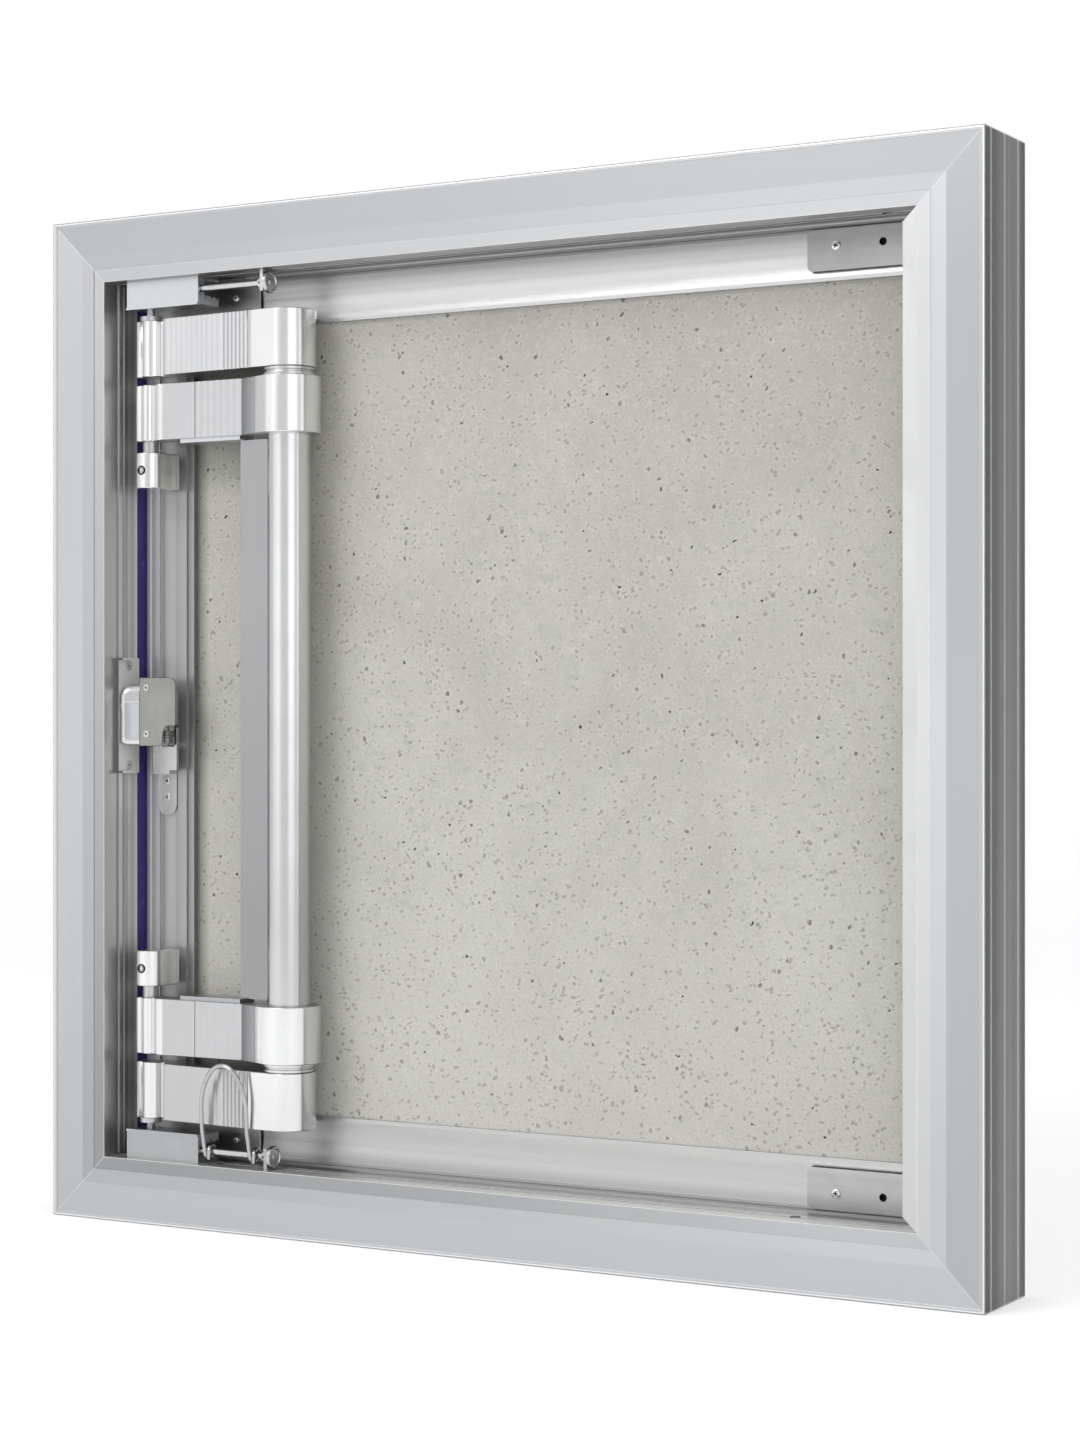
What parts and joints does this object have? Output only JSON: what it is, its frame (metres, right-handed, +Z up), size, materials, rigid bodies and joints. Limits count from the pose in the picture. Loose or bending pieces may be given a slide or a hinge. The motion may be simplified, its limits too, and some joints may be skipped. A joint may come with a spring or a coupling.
{
  "type": "access panel",
  "caption": "Square aluminium access panel for a tiled wall: hollow mitred frame, board door, two-part concealed hinge arms joined by a tube, latch and release pins.",
  "frame": {"origin": "centre of the frame's box: midway across, midway up, and midway between the rear edge and the room side", "axes": "+X from the hinge side to the opening side, +Y from the shaft towards the room, +Z up"},
  "size_m": [0.5, 0.047, 0.5],
  "materials": {
    "anodised": "satin anodised",
    "frame_alu": "satin anodised, extruded",
    "bright_alu": "bright anodised",
    "steel": "brushed",
    "zinc": "zinc plated",
    "dark_steel": "plain",
    "seal": "matt navy",
    "ring": "moulded",
    "board": "cement-bonded particle board"
  },
  "bodies": {
    "frame": {"frame_hinge_stile": "frame_alu", "frame_free_stile": "frame_alu", "frame_top_rail": "frame_alu", "frame_bottom_rail": "frame_alu", "corner_keys": "anodised", "catch_strip": "bright_alu", "door_seal": "seal", "upper_pivot_bracket": "bright_alu", "lower_pivot_bracket": "bright_alu", "bracket_screws": "zinc", "frame_pivot_pins": "zinc", "upper_rod_guide": "bright_alu", "lower_rod_guide": "bright_alu", "latch_strip": "zinc", "latch_housing": "zinc", "latch_cover": "zinc", "latch_screws": "zinc", "claw_pin": "dark_steel", "claw_spring": "dark_steel"},
    "frame_arms": {"upper_frame_arm": "bright_alu", "lower_frame_arm": "bright_alu", "arm_bushes": "bright_alu"},
    "link": {"upper_link_arm": "bright_alu", "lower_link_arm": "bright_alu", "upper_link_knuckle": "bright_alu", "lower_link_knuckle": "bright_alu", "link_plates": "bright_alu", "hinge_tube": "bright_alu", "elbow_spindles": "dark_steel", "elbow_rings": "ring"},
    "door": {"door_pins": "zinc", "upper_door_clamp": "bright_alu", "lower_door_clamp": "bright_alu", "clamp_screws": "zinc", "door_hinge_stile": "anodised", "door_free_stile": "anodised", "door_top_rail": "anodised", "door_bottom_rail": "anodised", "door_board": "board", "corner_plate_upper_hinge": "steel", "corner_plate_lower_hinge": "steel", "corner_plate_upper_free": "steel", "corner_plate_lower_free": "steel", "corner_plate_screws": "zinc", "striker_plate": "zinc", "striker_screws": "zinc"},
    "claw": {"latch_claw": "zinc"},
    "upper_pin": {"upper_release_pin": "zinc"},
    "lower_pin": {"lower_release_pin": "zinc"},
    "bail": {"wire_bail": "zinc"}
  },
  "joints": [
    {"name": "frame_pivot", "type": "hinge", "parent": "frame", "child": "frame_arms", "pos_m": [-0.2023, -0.0055, 0], "axis": [0, 0, 1], "range_deg": [0, 90]},
    {"name": "elbow", "type": "hinge", "parent": "frame_arms", "child": "link", "pos_m": [-0.1179, -0.0055, 0], "axis": [0, 0, 1], "range_deg": [-180, 0]},
    {"name": "door_pivot", "type": "hinge", "parent": "link", "child": "door", "pos_m": [-0.2023, -0.0055, 0], "axis": [0, 0, 1], "range_deg": [0, 180]},
    {"name": "latch_claw_pivot", "type": "hinge", "parent": "frame", "child": "claw", "pos_m": [-0.195, -0.002, -0.0106], "axis": [0, 0, -1], "range_deg": [0, 50]},
    {"name": "upper_pin_slide", "type": "slide", "parent": "frame", "child": "upper_pin", "axis": [1, 0, 0], "range_m": [0, 0.012]},
    {"name": "lower_pin_slide", "type": "slide", "parent": "frame", "child": "lower_pin", "axis": [1, 0, 0], "range_m": [0, 0.012]},
    {"name": "bail_hinge", "type": "hinge", "parent": "frame", "child": "bail", "pos_m": [-0.145, -0.0141, -0.2127], "axis": [1, 0, 0], "range_deg": [0, 90]}
  ],
  "couplings": [
    {"joint": "elbow", "follows": "frame_pivot", "ratio": -2},
    {"joint": "door_pivot", "follows": "frame_pivot", "ratio": 2}
  ]
}
